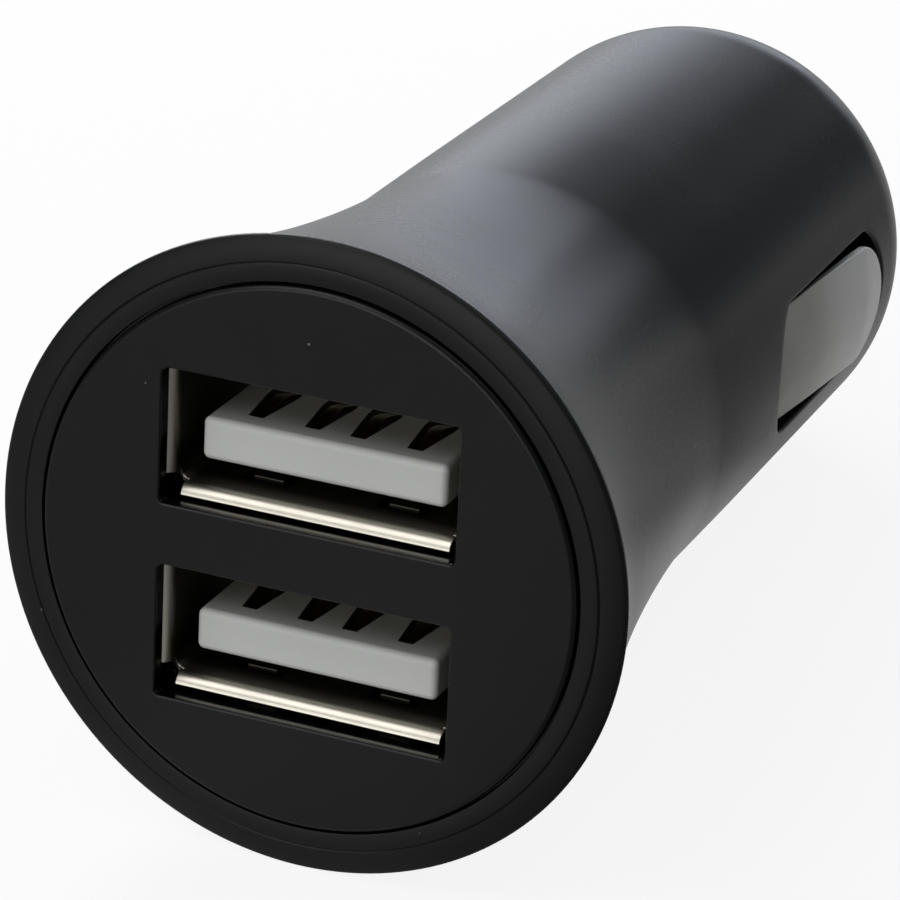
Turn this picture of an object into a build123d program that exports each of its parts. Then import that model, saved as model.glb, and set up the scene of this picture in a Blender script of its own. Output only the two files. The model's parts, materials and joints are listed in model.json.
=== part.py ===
"""Car USB charger plug: flared housing, face plate, stacked USB-A ports, sprung poles and boards.

Millimetres. X is to the right of the face, Y runs along the axis to the nose and Z is up. Stations along
Y are counted from the face, and every piece is moved by SEAT at the end, so the frame's origin lies on
the axis where the flare meets the plug barrel.
"""

import os
from math import acos, asin, cos, degrees, hypot, radians, sqrt

from build123d import *

# plug barrel, flare and nose
SEAT = 20.8
BARREL_R, BARREL_WALL, DRAFT = 10.5, 1.3, 0.1
FLARE_SLOPE, FLARE_LEAD, FLARE_TAIL = 0.34, 6.15, 3.0
DOME_LENGTH, DOME_WALL = 7.9, 2.3
NOSE_R, NOSE_WALL = 4.0, 1.6

# obround contact windows on both sides of the barrel
WINDOW_FRONT, WINDOW_LENGTH, WINDOW_HALF = 28.5, 15.1, 3.15
WINDOW_ROUND, WINDOW_LAND, WINDOW_EDGE = 0.3, 1.3, 0.15

# USB-A receptacles
SHELL_W, SHELL_H, SHEET, SHELL_CORNER = 12.5, 5.22, 0.25, 0.6
SHELL_PITCH, SHELL_LIFT = 8.5, 0.34
LIP_Y, LIP_R, LIP_TURN, LIP_SHORT = 1.45, 0.62, 78.0, 0.6
TONGUE_SIDE, TONGUE_H, TONGUE_GAP, TONGUE_Y, TONGUE_ROUND = 0.87, 1.84, 0.95, 1.6, 0.3
PIN_X = (-3.5, -1.0, 1.0, 3.5)
PIN_W, PIN_T, PIN_DROP = 0.55, 0.2, 0.27
SLOT_LAND, SLOT_TAPER, SLOT_DEPTH = 1.05, 2.55, 0.55
PIN_CREST, PIN_FOOT = 2.15, 4.05
BLOCK_T, PIN_TAIL = 2.2, 0.4
TAB_X, TAB_W, TAB_SLIT, TAB_BOW = 3.0, 1.35, 0.4, 0.32
TAB_FRONT, TAB_CREST, TAB_ROOT = 3.05, 4.3, 6.6
LEG_W = 1.6

# face plate and the rim round it
PORT_SIDE, PORT_PITCH = 0.25, 8.6
PORT_EDGE, PORT_ROUND, POCKET_EASE = 0.34, 0.1, 0.4
PLATE_MARGIN, PLATE_T, PLATE_ROUND = 2.013, 2.1, 0.25
WEB, SEAM, SEAT_EASE = 0.7, 0.1, 0.02
RING_Y, RING_W, GROOVE = 0.16, 0.78, 0.07
BEVEL_W, RIM_Y, RIM_ROUND = 1.11, 0.52, 0.17
THROAT_STEP, THROAT_END = 1.15, 6.0

# boards
BOARD_Y, BOARD_T, BOARD_EASE, SHOULDER_EASE = 11.5, 1.6, 0.05, 0.31
POWER_STEP, POWER_T, POWER_SHORT = 1.1, 1.2, 4.7
HEADER_X, HEADER, HEADER_LENGTH = (-4.5, -1.5, 1.5, 4.5), 0.6, 1.7

# ground contacts
LEAF_T, LEAF_EASE, LEAF_SHORT = 0.35, 0.3, 0.9
LEAF_SINK, LEAF_PROUD, LEAF_CREST = 0.55, 0.3, 3.4
LEAF_ROOT, LEAF_BACK, NECK_HALF = 1.15, 2.2, 1.3
HINGE_R, HINGE_LENGTH = 0.45, 3.0
LEAF_BENDS = (0.6, 0.8, 6.0)

# centre tip and its spring
TIP_R, TIP_EASE, TIP_PROUD, TIP_ROUND = 2.5, 0.06, 3.5, 1.7
FLANGE_T, FLANGE_RIM, SPIGOT = 0.95, 0.5, 2.0
COIL_R, WIRE, COIL_PITCH, COIL_EASE = 2.75, 0.5, 1.5, 0.05
CUP_T, CUP_RIM, CUP_DEPTH = 0.4, 0.35, 1.2
CUP_EASE, CUP_TAB = 0.15, 2.8

# parts on the power board
DRUM_R, DRUM_H, WAIST_R, DRUM_FLANGE = 3.6, 4.8, 1.8, 0.9
CAN_R, CAN_EASE = 3.15, 0.3
INPUT_CAN, OUTPUT_CAN = 11.0, 8.0
LEAD_R, LEAD_PITCH, LEAD_TAIL = 0.3, 2.5, 0.6
CHIP_W, CHIP_L, CHIP_H, CHIP_PITCH = 3.9, 4.9, 1.6, 1.27
CHIP_REACH, CHIP_EASE = 1.15, 0.1
CONTROLLER = (3.0, 3.0, 0.8)
DIODE_W, DIODE_L, DIODE_H = 2.6, 4.2, 2.2
FUSE_W, FUSE_L, FUSE_H, FUSE_CAP = 1.6, 3.2, 0.9, 0.5
RESISTOR, RESISTOR_PITCH = (0.8, 1.6, 0.45), 2.2
CERAMIC, CERAMIC_PITCH = (1.25, 2.0, 1.2), 3.0
PART_GAP = 0.8

# port windows, plate and rim follow the receptacles
UPPER_Z = SHELL_PITCH / 2 + SHELL_LIFT
LOWER_Z = -SHELL_PITCH / 2 + SHELL_LIFT
PORT_W, PORT_H = SHELL_W + 2 * PORT_SIDE, SHELL_H + 2 * PORT_EDGE
LIP_OUT = LIP_R - (LIP_R - SHEET) * cos(radians(LIP_TURN)) + POCKET_EASE
POCKET_W, POCKET_H = SHELL_W + 2 * LIP_OUT, SHELL_H + 2 * LIP_OUT
PLATE_R = hypot(PORT_W / 2, PORT_PITCH / 2 + PORT_H / 2) + PLATE_MARGIN
BEZEL_R = PLATE_R + SEAM
GROOVE_R = BEZEL_R + RING_W
RIM_R = GROOVE_R + BEVEL_W
SHELL_REACH = hypot(SHELL_W / 2 - SHELL_CORNER, UPPER_Z + SHELL_H / 2 - SHELL_CORNER) + SHELL_CORNER + SHEET
SHOULDER_R = SHELL_REACH + SHOULDER_EASE
BOARD_R = SHOULDER_R - BOARD_EASE
TONGUE_W = SHELL_W - 2 * TONGUE_SIDE
TONGUE_TOP = -SHELL_H / 2 + TONGUE_GAP + TONGUE_H
SLOT_Y = TONGUE_Y + SLOT_LAND
BLOCK_Y = BOARD_Y - BLOCK_T

# stations along the barrel
BOARD_BACK = BOARD_Y + BOARD_T
WINDOW_REAR = WINDOW_FRONT + WINDOW_LENGTH
WINDOW_END_R = WINDOW_HALF + WINDOW_ROUND
BARREL_END = WINDOW_FRONT - 0.5
BORE_R, DRAFT_R = BARREL_R - BARREL_WALL, BARREL_R - DRAFT
DOME_Y = WINDOW_REAR + WINDOW_LAND
NOSE_Y = DOME_Y + DOME_LENGTH * sqrt(1 - (NOSE_R / DRAFT_R) ** 2)
POWER_END = DOME_Y - POWER_SHORT

# leaf, tip and cup
LEAF_HALF = WINDOW_HALF - LEAF_EASE
LEAF_FRONT, LEAF_REAR = WINDOW_FRONT + LEAF_EASE, WINDOW_REAR - LEAF_SHORT
CREST_R = BARREL_R + LEAF_PROUD - LEAF_T / 2
LEAF_PATH = [
    (BORE_R - LEAF_ROOT, WINDOW_FRONT - LEAF_BACK),
    (BORE_R - LEAF_ROOT + 0.1, WINDOW_FRONT - LEAF_EASE),
    (BARREL_R - LEAF_SINK - LEAF_T / 2, LEAF_FRONT + 1),
    (CREST_R, WINDOW_REAR - LEAF_CREST),
    (CREST_R - 0.15, LEAF_REAR),
]
POWER_W = 2 * (LEAF_PATH[0][0] - HINGE_R - 0.1)
TIP_SEAT_Y = NOSE_Y - NOSE_WALL
FLANGE_R = COIL_R + WIRE / 2 + FLANGE_RIM
FLANGE_Y = TIP_SEAT_Y - COIL_EASE - FLANGE_T
COIL_END = FLANGE_Y - COIL_EASE
SPIGOT_R = COIL_R - WIRE / 2 - 0.3
CUP_R = COIL_R + WIRE / 2 + CUP_EASE + CUP_RIM

# places on the power board
TOP = POWER_T / 2
DRUM_Y = BOARD_BACK + HEADER_LENGTH + DRUM_R + 0.4
LEAD_Y = DRUM_Y + DRUM_R + LEAD_R + 0.2
CAN_X, CAN_Y = CAN_R + CAN_EASE, LEAD_Y + 1.3
CHIP_Y = LEAD_Y - LEAD_R - CHIP_L / 2 - CHIP_EASE
FUSE_Y = POWER_END - CUP_TAB - FUSE_L / 2 - 2 * PART_GAP
DIODE_X = -POWER_W / 2 + POWER_STEP + DIODE_W / 2 + 2 * PART_GAP
DIODE_Y = FUSE_Y - FUSE_L / 2 - DIODE_L / 2 - PART_GAP
CERAMIC_X = POWER_W / 2 - POWER_STEP - 2 * CERAMIC[0]
RESISTOR_X = CHIP_W / 2 + CHIP_REACH + 2 * PART_GAP


def front(y):
    """Sketch plane across the axis at station y, seen from the face; extrude(-t) goes to the nose."""
    return Plane((0, y, 0), x_dir=(1, 0, 0), z_dir=(0, -1, 0))


def side_plane(x):
    """Sketch plane along the axis at x: its first axis is the station and its second is the height."""
    return Plane((x, 0, 0), x_dir=(0, 1, 0), z_dir=(1, 0, 0))


def box(low, high, mode=Mode.ADD):
    """Block between two corners, in the builder that is open."""
    size = [b - a for a, b in zip(low, high)]
    with Locations(tuple((a + b) / 2 for a, b in zip(low, high))):
        Box(*size, mode=mode)


def make_housing():
    bevel = (RIM_R - RIM_ROUND, RIM_Y - RIM_ROUND - 0.03)
    with BuildPart() as made:
        with BuildSketch(Plane.XY):
            with BuildLine():
                Polyline((BEZEL_R, RING_Y), (GROOVE_R - 0.05, RING_Y), (GROOVE_R, RING_Y + GROOVE),
                         (GROOVE_R + 0.05, RING_Y + 0.01), bevel)
                ThreePointArc(bevel, (RIM_R - RIM_ROUND / 4, RIM_Y - 0.75 * RIM_ROUND), (RIM_R, RIM_Y))
                Bezier((RIM_R, RIM_Y), (RIM_R - FLARE_SLOPE * FLARE_LEAD, RIM_Y + FLARE_LEAD),
                       (BARREL_R, SEAT - FLARE_TAIL), (BARREL_R, SEAT))
                Polyline((BARREL_R, SEAT), (BARREL_R, BARREL_END), (DRAFT_R, DOME_Y))
                EllipticalCenterArc((0, DOME_Y), DRAFT_R, DOME_LENGTH,
                                    arc_size=degrees(acos(NOSE_R / DRAFT_R)))
                hollow = EllipticalCenterArc((0, DOME_Y), BORE_R, DOME_LENGTH - DOME_WALL,
                                             arc_size=degrees(acos((FLANGE_R + 0.4) / BORE_R)))
                seat = hollow @ 1
                hole = TIP_R + TIP_EASE
                Polyline((NOSE_R, NOSE_Y), (hole, NOSE_Y), (hole, TIP_SEAT_Y), (seat.X, TIP_SEAT_Y),
                         (seat.X, seat.Y))
                throat = SHOULDER_R + THROAT_STEP
                Polyline((BORE_R, DOME_Y), (BORE_R, SEAT), (BORE_R + 0.15, BOARD_BACK),
                         (SHOULDER_R, BOARD_BACK), (SHOULDER_R, BOARD_BACK - 0.5), (throat, THROAT_END),
                         (throat, PLATE_T), (BEZEL_R, PLATE_T), (BEZEL_R, RING_Y))
            make_face()
        revolve(axis=Axis.Y)
        with BuildSketch(Plane.YZ):
            with BuildLine():
                sag = WINDOW_END_R - sqrt(WINDOW_END_R**2 - WINDOW_HALF**2)
                a, b, h = WINDOW_FRONT + sag, WINDOW_REAR - sag, WINDOW_HALF
                Line((a, h), (b, h))
                ThreePointArc((b, h), (WINDOW_REAR, 0), (b, -h))
                Line((b, -h), (a, -h))
                ThreePointArc((a, -h), (WINDOW_FRONT, 0), (a, h))
            window = make_face()
            fillet(window.vertices(), 3 * WINDOW_ROUND)
        extrude(amount=BARREL_R + 2, both=True, mode=Mode.SUBTRACT)
        rim = [e for e in made.edges(Select.LAST) if hypot((e @ 0.5).X, (e @ 0.5).Z) > DRAFT_R - WINDOW_EDGE]
        fillet(rim, WINDOW_EDGE)
    return made.part


def make_face_plate():
    base = BEZEL_R - SEAT_EASE
    with BuildPart() as made:
        with BuildSketch(Plane.XY):
            with BuildLine():
                Polyline((0, PLATE_T), (0, 0), (PLATE_R - PLATE_ROUND, 0))
                RadiusArc((PLATE_R - PLATE_ROUND, 0), (PLATE_R, PLATE_ROUND), -PLATE_ROUND)
                Polyline((PLATE_R, PLATE_ROUND), (PLATE_R, 0.6), (base, 0.6), (base, PLATE_T), (0, PLATE_T))
            make_face()
        revolve(axis=Axis.Y)
        for side, shell_z in ((1, UPPER_Z), (-1, LOWER_Z)):
            with BuildSketch(front(0)):
                with Locations((0, side * PORT_PITCH / 2)):
                    RectangleRounded(PORT_W, PORT_H, 0.25)
            extrude(amount=-PLATE_T, mode=Mode.SUBTRACT)
            fillet(made.edges(Select.LAST).group_by(Axis.Y)[0], PORT_ROUND)
            with BuildSketch(front(WEB)):
                with Locations((0, shell_z)):
                    RectangleRounded(POCKET_W, POCKET_H, 0.8)
            extrude(amount=-PLATE_T, mode=Mode.SUBTRACT)
    return made.part


def make_shell(z):
    """Folded sheet receptacle shell: flared lips with open corners, sprung tabs, solder legs."""
    w, h = SHELL_W / 2, SHELL_H / 2
    slot, root = TAB_W / 2 + TAB_SLIT, LIP_Y + 0.08
    with BuildPart() as made:
        with BuildSketch(front(LIP_Y)):
            RectangleRounded(SHELL_W + 2 * SHEET, SHELL_H + 2 * SHEET, SHELL_CORNER + SHEET)
            RectangleRounded(SHELL_W, SHELL_H, SHELL_CORNER, mode=Mode.SUBTRACT)
        extrude(amount=LIP_Y - BOARD_Y)
        for half, length, turn in ((h, SHELL_W - LIP_SHORT, 0), (w, SHELL_H - LIP_SHORT, 90)):
            for flip in (0, 180):
                with BuildSketch(side_plane(0).rotated((0, turn + flip, 0))):
                    with BuildLine():
                        centre = (LIP_Y, half + LIP_R)
                        inside = CenterArc(centre, LIP_R, 270, -LIP_TURN)
                        outside = CenterArc(centre, LIP_R - SHEET, 270 - LIP_TURN, LIP_TURN)
                        Line(inside @ 1, outside @ 0)
                        Polyline(outside @ 1, (root, half + SHEET), (root, half), inside @ 0)
                    make_face()
                extrude(amount=length / 2, both=True)
        for flip in (1, -1):
            low, high = sorted((flip * (h - 0.1), flip * (h + SHEET + 0.1)))
            for x in (-TAB_X, TAB_X):
                box((x - slot, TAB_FRONT - TAB_SLIT, low), (x + slot, TAB_ROOT, high), Mode.SUBTRACT)
                with BuildSketch(side_plane(x)):
                    with BuildLine():
                        rise = [(TAB_ROOT, 0), (TAB_CREST, -TAB_BOW), (TAB_FRONT, -0.2 * TAB_BOW)]
                        under = [(y, d + SHEET) for y, d in reversed(rise)]
                        Polyline(*[(y, flip * (h + d)) for y, d in rise + under], close=True)
                    make_face()
                extrude(amount=TAB_W / 2, both=True)
        for x in (-w - SHEET, w):
            box((x, BOARD_Y - 0.5, -LEG_W / 2), (x + SHEET, BOARD_BACK + PIN_TAIL, LEG_W / 2))
    return Pos(0, 0, z) * made.part


def make_contacts(z):
    """Four sprung strips that bow up out of the tongue and run back through the board."""
    bow = [(SLOT_Y + 0.2, -PIN_DROP), (SLOT_Y + PIN_CREST, 0.1), (SLOT_Y + PIN_FOOT, -PIN_DROP)]
    over = [(y, TONGUE_TOP + d) for y, d in bow + [(BOARD_BACK + PIN_TAIL, -PIN_DROP)]]
    with BuildPart() as made:
        for x in PIN_X:
            with BuildSketch(side_plane(x)):
                with BuildLine():
                    Polyline(*over, *[(y, h - PIN_T) for y, h in reversed(over)], close=True)
                make_face()
            extrude(amount=PIN_W / 2, both=True)
    return Pos(0, 0, z) * made.part


def make_insulator(z):
    """White moulding: tongue with contact slots that widen to the rear, and the block behind it."""
    narrow, wide, taper = PIN_W / 2 + 0.065, PIN_W / 2 + 0.405, SLOT_Y + SLOT_TAPER
    with BuildPart() as made:
        box((-TONGUE_W / 2, TONGUE_Y, TONGUE_TOP - TONGUE_H), (TONGUE_W / 2, BLOCK_Y + 0.2, TONGUE_TOP))
        fillet(made.edges().filter_by(Axis.Y), TONGUE_ROUND)
        fillet(made.faces().sort_by(Axis.Y)[0].edges(), TONGUE_ROUND)
        with BuildSketch(front(BLOCK_Y)):
            RectangleRounded(SHELL_W, SHELL_H, SHELL_CORNER)
        extrude(amount=-BLOCK_T)
        for x in PIN_X:
            with BuildSketch(Plane.XY.offset(TONGUE_TOP)):
                with BuildLine():
                    Polyline((x - narrow, SLOT_Y), (x + narrow, SLOT_Y), (x + wide, taper),
                             (x + wide, BLOCK_Y), (x - wide, BLOCK_Y), (x - wide, taper), close=True)
                make_face()
            extrude(amount=-SLOT_DEPTH, mode=Mode.SUBTRACT)
    return Pos(0, 0, z) * made.part - make_contacts(z)


def make_usb_board():
    with BuildPart() as made:
        with BuildSketch(front(BOARD_Y)):
            Circle(BOARD_R)
            for z in (UPPER_Z, LOWER_Z):
                with Locations((-SHELL_W / 2 - SHEET / 2, z), (SHELL_W / 2 + SHEET / 2, z)):
                    Rectangle(SHEET, LEG_W, mode=Mode.SUBTRACT)
                with Locations(*[(x, z + TONGUE_TOP - PIN_DROP - PIN_T / 2) for x in PIN_X]):
                    Rectangle(PIN_W, PIN_T, mode=Mode.SUBTRACT)
            with Locations(*[(x, TOP + HEADER / 2) for x in HEADER_X]):
                Rectangle(HEADER, HEADER, mode=Mode.SUBTRACT)
        extrude(amount=-BOARD_T)
    return made.part


def make_power_board():
    start, step = BOARD_BACK, LEAF_PATH[0][1] + HINGE_R + 0.75
    with BuildPart() as made:
        with BuildSketch(Plane.XY.offset(-TOP)):
            with BuildLine():
                w, n = POWER_W / 2, POWER_W / 2 - POWER_STEP
                Polyline((-w, start), (w, start), (w, step), (n, step), (n, POWER_END), (-n, POWER_END),
                         (-n, step), (-w, step), close=True)
            make_face()
            with Locations(*[(s * CAN_X + d * LEAD_PITCH / 2, LEAD_Y) for s in (-1, 1) for d in (-1, 1)]):
                Circle(LEAD_R, mode=Mode.SUBTRACT)
        extrude(amount=POWER_T)
    return made.part


def make_header():
    with BuildPart() as made:
        half, end = HEADER / 2, BOARD_BACK + HEADER_LENGTH
        for x in HEADER_X:
            box((x - half, BOARD_Y - 0.5, TOP), (x + half, end, TOP + HEADER))
    return made.part


def make_leaf():
    """Right-hand ground contact: an obround leaf that rises out of its window, with a necked, rolled root."""
    span = 2 * degrees(asin((LEAF_HALF + 0.13) / (BARREL_R + LEAF_PROUD)))
    root = LEAF_PATH[0][1] - 1
    with BuildPart() as made:
        with BuildSketch(Plane.XY.rotated((0, -span / 2, 0))):
            with BuildLine() as path:
                FilletPolyline(*LEAF_PATH, radius=LEAF_BENDS)
            trace(path.line, LEAF_T)
        revolve(axis=Axis.Y, revolution_arc=span)
        with BuildSketch(Plane.YZ):
            with Locations(((LEAF_FRONT + LEAF_REAR) / 2, 0)):
                SlotOverall(LEAF_REAR - LEAF_FRONT, 2 * LEAF_HALF)
            with Locations(((root + LEAF_PATH[2][1]) / 2, 0)):
                Rectangle(LEAF_PATH[2][1] - root, 2 * NECK_HALF)
        extrude(amount=BARREL_R + 2, mode=Mode.INTERSECT)
        with Locations(LEAF_PATH[0]):
            Cylinder(HINGE_R, HINGE_LENGTH)
    return made.part


def make_tip():
    tip_end, flange_end = NOSE_Y + TIP_PROUD, FLANGE_Y + FLANGE_T
    with BuildPart() as made:
        with BuildSketch(Plane.XY):
            with BuildLine():
                Polyline((TIP_R - TIP_ROUND, tip_end), (0, tip_end), (0, FLANGE_Y - SPIGOT),
                         (SPIGOT_R, FLANGE_Y - SPIGOT), (SPIGOT_R, FLANGE_Y), (FLANGE_R, FLANGE_Y),
                         (FLANGE_R, flange_end), (TIP_R, flange_end), (TIP_R, tip_end - TIP_ROUND))
                RadiusArc((TIP_R, tip_end - TIP_ROUND), (TIP_R - TIP_ROUND, tip_end), -TIP_ROUND)
            make_face()
        revolve(axis=Axis.Y)
    return made.part


def make_spring():
    """Wound spring with both ends ground flat."""
    start, r = POWER_END + CUP_T, COIL_R + WIRE
    with BuildPart() as made:
        with BuildLine():
            coil = Helix(COIL_PITCH, COIL_END - start + 0.8 * WIRE, COIL_R, center=(0, start - 0.4 * WIRE, 0),
                         direction=(0, 1, 0))
        with BuildSketch(Plane(coil @ 0, z_dir=coil % 0)):
            Circle(WIRE / 2)
        sweep(is_frenet=True)
        box((-r, start, -r), (r, COIL_END, r), Mode.INTERSECT)
    return made.part


def make_cup():
    tab_w, tab_t = 1.2, 0.3
    with BuildPart() as made:
        with BuildSketch(front(POWER_END)):
            Circle(CUP_R)
        extrude(amount=-CUP_T)
        with BuildSketch(front(POWER_END + CUP_T)):
            Circle(CUP_R)
            Circle(CUP_R - CUP_RIM, mode=Mode.SUBTRACT)
        extrude(amount=-CUP_DEPTH)
        for z in (TOP, -TOP - tab_t):
            box((-tab_w, POWER_END - CUP_TAB, z), (tab_w, POWER_END + CUP_T / 2, z + tab_t))
    return made.part


def make_can(x, length):
    """Electrolytic capacitor lying along the board, with the crimp groove near its seal."""
    with BuildPart() as made:
        with BuildSketch(front(CAN_Y)):
            Circle(CAN_R)
        extrude(amount=-length)
        fillet(made.edges().sort_by(Axis.Y)[-1], 0.5)
        fillet(made.edges().sort_by(Axis.Y)[0], 0.3)
        with BuildSketch(Plane.XY):
            with Locations((CAN_R, CAN_Y + 1.5)):
                Circle(0.35)
        revolve(axis=Axis.Y, mode=Mode.SUBTRACT)
    return Pos(x, 0, TOP + CAN_R) * made.part


def make_leads(x):
    with BuildPart() as made:
        for side in (-1, 1):
            at = x + side * LEAD_PITCH / 2
            with BuildLine() as path:
                FilletPolyline((at, CAN_Y, TOP + CAN_R), (at, LEAD_Y, TOP + CAN_R),
                               (at, LEAD_Y, -TOP - LEAD_TAIL), radius=2 * LEAD_R)
            with BuildSketch(Plane((at, CAN_Y, TOP + CAN_R), z_dir=(0, -1, 0))):
                Circle(LEAD_R)
            sweep(path=path.line)
    return made.part


def make_drum():
    with BuildPart() as made:
        with Locations((0, DRUM_Y, TOP + DRUM_H / 2)):
            Cylinder(WAIST_R, DRUM_H)
        for z in (TOP + DRUM_FLANGE / 2, TOP + DRUM_H - DRUM_FLANGE / 2):
            with Locations((0, DRUM_Y, z)):
                Cylinder(DRUM_R, DRUM_FLANGE)
    return made.part


def make_winding():
    with BuildPart() as made:
        with Locations((0, DRUM_Y, TOP + DRUM_H / 2)):
            Cylinder(DRUM_R - 0.4, DRUM_H - 2 * DRUM_FLANGE)
            Cylinder(WAIST_R, DRUM_H, mode=Mode.SUBTRACT)
    return made.part


def make_chip():
    w, l = CHIP_W / 2, CHIP_L / 2
    with BuildPart() as made:
        box((-w, CHIP_Y - l, -TOP - CHIP_H), (w, CHIP_Y + l, -TOP - 0.15))
        chamfer(made.faces().sort_by(Axis.Z)[0].edges(), 0.2)
    return made.part


def make_chip_leads():
    w, bend, foot, knee = CHIP_W / 2, CHIP_W / 2 + 0.6, CHIP_W / 2 + CHIP_REACH, CHIP_H / 2
    with BuildPart() as made:
        for k in range(4):
            y = CHIP_Y + (k - 1.5) * CHIP_PITCH
            for side in (-1, 1):
                with BuildSketch(Plane((0, y, -TOP), x_dir=(side, 0, 0), z_dir=(0, -side, 0))):
                    with BuildLine():
                        Polyline((w, -knee), (bend, -knee), (bend, 0), (foot, 0), (foot, -0.2),
                                 (bend + 0.2, -0.2), (bend + 0.2, -knee - 0.2), (w, -knee - 0.2), close=True)
                    make_face()
                extrude(amount=0.21, both=True)
    return made.part


def make_blocks(places, size):
    """Identical small parts on the underside of the power board."""
    with BuildPart() as made:
        for x, y in places:
            box((x - size[0] / 2, y - size[1] / 2, -TOP - size[2]), (x + size[0] / 2, y + size[1] / 2, -TOP))
    return made.part


def make_diode():
    w, l = DIODE_W / 2, DIODE_L / 2
    with BuildPart() as made:
        box((DIODE_X - w, DIODE_Y - l, -TOP - DIODE_H), (DIODE_X + w, DIODE_Y + l, -TOP - 0.2))
        chamfer(made.faces().sort_by(Axis.Z)[0].edges(), 0.25)
    return made.part


def make_diode_tabs():
    """Two strips folded round the ends of the diode and under it."""
    w, l, t = 0.75, DIODE_L / 2, 0.2
    with BuildPart() as made:
        for side in (-1, 1):
            low, high = sorted((DIODE_Y + side * (l - 1.1), DIODE_Y + side * (l + 2 * t)))
            box((DIODE_X - w, low, -TOP - t), (DIODE_X + w, high, -TOP))
            low, high = sorted((DIODE_Y + side * l, DIODE_Y + side * (l + 2 * t)))
            box((DIODE_X - w, low, -TOP - DIODE_H / 2), (DIODE_X + w, high, -TOP))
    return made.part


def make_fuse():
    w, l = FUSE_W / 2, FUSE_L / 2 - FUSE_CAP
    with BuildPart() as made:
        box((-w, FUSE_Y - l, -TOP - FUSE_H), (w, FUSE_Y + l, -TOP))
    return made.part


def make_fuse_caps():
    w, l = FUSE_W / 2, FUSE_L / 2
    with BuildPart() as made:
        for y in (FUSE_Y - l, FUSE_Y + l - FUSE_CAP):
            box((-w, y, -TOP - FUSE_H), (w, y + FUSE_CAP, -TOP))
    return made.part


right_leaf = make_leaf()
resistor_places = [(s * RESISTOR_X, CHIP_Y - k * RESISTOR_PITCH) for s in (-1, 1) for k in (0, 1)]
ceramic_places = [(CERAMIC_X, DIODE_Y + k * CERAMIC_PITCH) for k in (-1, 0, 1)]
nodes = {
    "housing": make_housing(),
    "face_plate": make_face_plate(),
    "upper_usb_shell": make_shell(UPPER_Z),
    "upper_usb_insulator": make_insulator(UPPER_Z),
    "upper_usb_contacts": make_contacts(UPPER_Z),
    "lower_usb_shell": make_shell(LOWER_Z),
    "lower_usb_insulator": make_insulator(LOWER_Z),
    "lower_usb_contacts": make_contacts(LOWER_Z),
    "usb_board": make_usb_board(),
    "power_board": make_power_board(),
    "board_pins": make_header(),
    "right_ground_contact": right_leaf,
    "left_ground_contact": mirror(right_leaf, about=Plane.YZ),
    "centre_tip": make_tip(),
    "tip_spring": make_spring(),
    "spring_cup": make_cup(),
    "input_capacitor": make_can(-CAN_X, INPUT_CAN),
    "input_capacitor_leads": make_leads(-CAN_X),
    "output_capacitor": make_can(CAN_X, OUTPUT_CAN),
    "output_capacitor_leads": make_leads(CAN_X),
    "inductor_core": make_drum(),
    "inductor_winding": make_winding(),
    "converter_chip": make_chip(),
    "converter_leads": make_chip_leads(),
    "port_controller": make_blocks([(0, BOARD_BACK + CONTROLLER[1] / 2 + PART_GAP)], CONTROLLER),
    "diode": make_diode(),
    "diode_tabs": make_diode_tabs(),
    "fuse": make_fuse(),
    "fuse_caps": make_fuse_caps(),
    "resistors": make_blocks(resistor_places, RESISTOR),
    "ceramic_capacitors": make_blocks(ceramic_places, CERAMIC),
}

os.makedirs("parts", exist_ok=True)
for name, shape in nodes.items():
    piece = shape.moved(Location((0, -SEAT, 0)))
    piece.label = name
    export_step(piece, os.path.join("parts", name + ".step"))
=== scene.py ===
"""Car USB charger plug: finishes, finer pieces, floor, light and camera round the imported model."""

import json
from math import atan2, cos, degrees, pi, radians, sin, sqrt

import bmesh
import bpy
from mathutils import Matrix, Vector


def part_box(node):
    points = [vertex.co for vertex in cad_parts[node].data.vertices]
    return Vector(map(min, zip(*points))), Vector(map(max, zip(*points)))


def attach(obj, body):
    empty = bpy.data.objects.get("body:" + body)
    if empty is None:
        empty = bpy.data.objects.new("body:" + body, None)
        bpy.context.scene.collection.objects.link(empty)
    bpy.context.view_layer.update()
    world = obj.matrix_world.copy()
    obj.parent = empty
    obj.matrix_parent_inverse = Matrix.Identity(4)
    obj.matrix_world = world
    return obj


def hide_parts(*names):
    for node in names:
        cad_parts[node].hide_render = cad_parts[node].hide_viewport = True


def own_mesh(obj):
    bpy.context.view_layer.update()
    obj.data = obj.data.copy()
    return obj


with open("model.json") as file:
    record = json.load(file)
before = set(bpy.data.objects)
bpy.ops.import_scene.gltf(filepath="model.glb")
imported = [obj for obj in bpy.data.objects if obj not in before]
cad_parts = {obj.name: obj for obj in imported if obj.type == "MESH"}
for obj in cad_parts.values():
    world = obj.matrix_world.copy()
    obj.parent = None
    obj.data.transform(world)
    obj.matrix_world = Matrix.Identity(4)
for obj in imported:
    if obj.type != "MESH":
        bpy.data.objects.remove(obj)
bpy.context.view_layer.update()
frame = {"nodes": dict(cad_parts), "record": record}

MM = 0.001
SAME_POINT = 0.0005 * MM
SHARP_TURN = 30
scene = bpy.context.scene
scene.view_settings.view_transform = "Standard"

# Sizes of the charger in millimetres: radius from the axis, or station along it for names that end in Y.
RIM, RIM_Y = 13.74, -20.28
FACE_Y, PLATE_BACK_Y = -20.8, -18.7
BARREL, DRAFTED, BORE = 10.5, 10.4, 9.2
DRAFT_Y, DOME_Y = 7.2, 24.1
WINDOW_Y, WINDOW_HALF, WINDOW_END, WINDOW_CORNER = 15.25, 3.15, 3.45, 0.9
WINDOW_REACH, WINDOW_SOFT = 7.55, 0.15

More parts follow.
